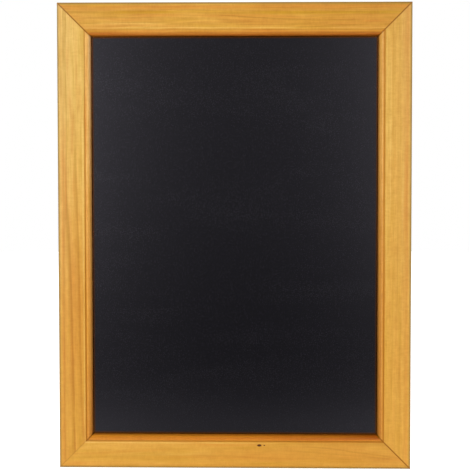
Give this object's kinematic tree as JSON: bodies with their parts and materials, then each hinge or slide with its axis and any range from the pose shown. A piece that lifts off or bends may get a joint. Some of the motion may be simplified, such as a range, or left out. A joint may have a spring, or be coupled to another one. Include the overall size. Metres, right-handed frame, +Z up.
{
  "type": "wall chalkboard",
  "caption": "Portrait wall chalkboard: a matt black writing panel in a mitred, moulded pine frame, hung from swinging D-rings on strap hangers.",
  "frame": {"origin": "on the wall, midway between the two hooks that carry the hanger rings when these are turned up", "axes": "+Z up along the board's height, +X to the right seen from the front, +Y into the wall, so the writing surface faces -Y"},
  "size_m": [0.454, 0.0232, 0.6],
  "materials": {
    "pine": "planed pine under a honey-coloured satin lacquer",
    "blackboard": "matt black laminate with a fine tooth for chalk",
    "hardboard": "brown hardboard, smooth side out",
    "nail_steel": "blued spring steel strip",
    "zinc_plate": "bright zinc-plated mild steel",
    "ring_plate": "nickel-plated steel wire",
    "bumper_rubber": "soft grey rubber"
  },
  "bodies": {
    "frame": {"top_rail": "pine", "right_stile": "pine", "bottom_rail": "pine", "left_stile": "pine", "writing_surface": "blackboard", "core_board": "hardboard", "v_nail_top_right_outer": "nail_steel", "v_nail_top_right_inner": "nail_steel", "v_nail_bottom_right_outer": "nail_steel", "v_nail_bottom_right_inner": "nail_steel", "v_nail_bottom_left_outer": "nail_steel", "v_nail_bottom_left_inner": "nail_steel", "v_nail_top_left_outer": "nail_steel", "v_nail_top_left_inner": "nail_steel", "framing_point_top_rail_1": "zinc_plate", "framing_point_top_rail_2": "zinc_plate", "framing_point_right_stile_1": "zinc_plate", "framing_point_right_stile_2": "zinc_plate", "framing_point_right_stile_3": "zinc_plate", "framing_point_bottom_rail_1": "zinc_plate", "framing_point_bottom_rail_2": "zinc_plate", "framing_point_left_stile_1": "zinc_plate", "framing_point_left_stile_2": "zinc_plate", "framing_point_left_stile_3": "zinc_plate", "left_strap": "zinc_plate", "right_strap": "zinc_plate", "left_screw_upper": "zinc_plate", "left_screw_lower": "zinc_plate", "right_screw_upper": "zinc_plate", "right_screw_lower": "zinc_plate", "left_bumper": "bumper_rubber", "right_bumper": "bumper_rubber"},
    "left_hanger_ring": {"left_ring": "ring_plate"},
    "right_hanger_ring": {"right_ring": "ring_plate"}
  },
  "joints": [
    {"name": "left_ring_swing", "type": "hinge", "parent": "frame", "child": "left_hanger_ring", "pos_m": [-0.21, -0.0028, -0.0155], "axis": [1, 0, 0], "range_deg": [0, 180]},
    {"name": "right_ring_swing", "type": "hinge", "parent": "frame", "child": "right_hanger_ring", "pos_m": [0.21, -0.0028, -0.0155], "axis": [1, 0, 0], "range_deg": [0, 180]}
  ]
}
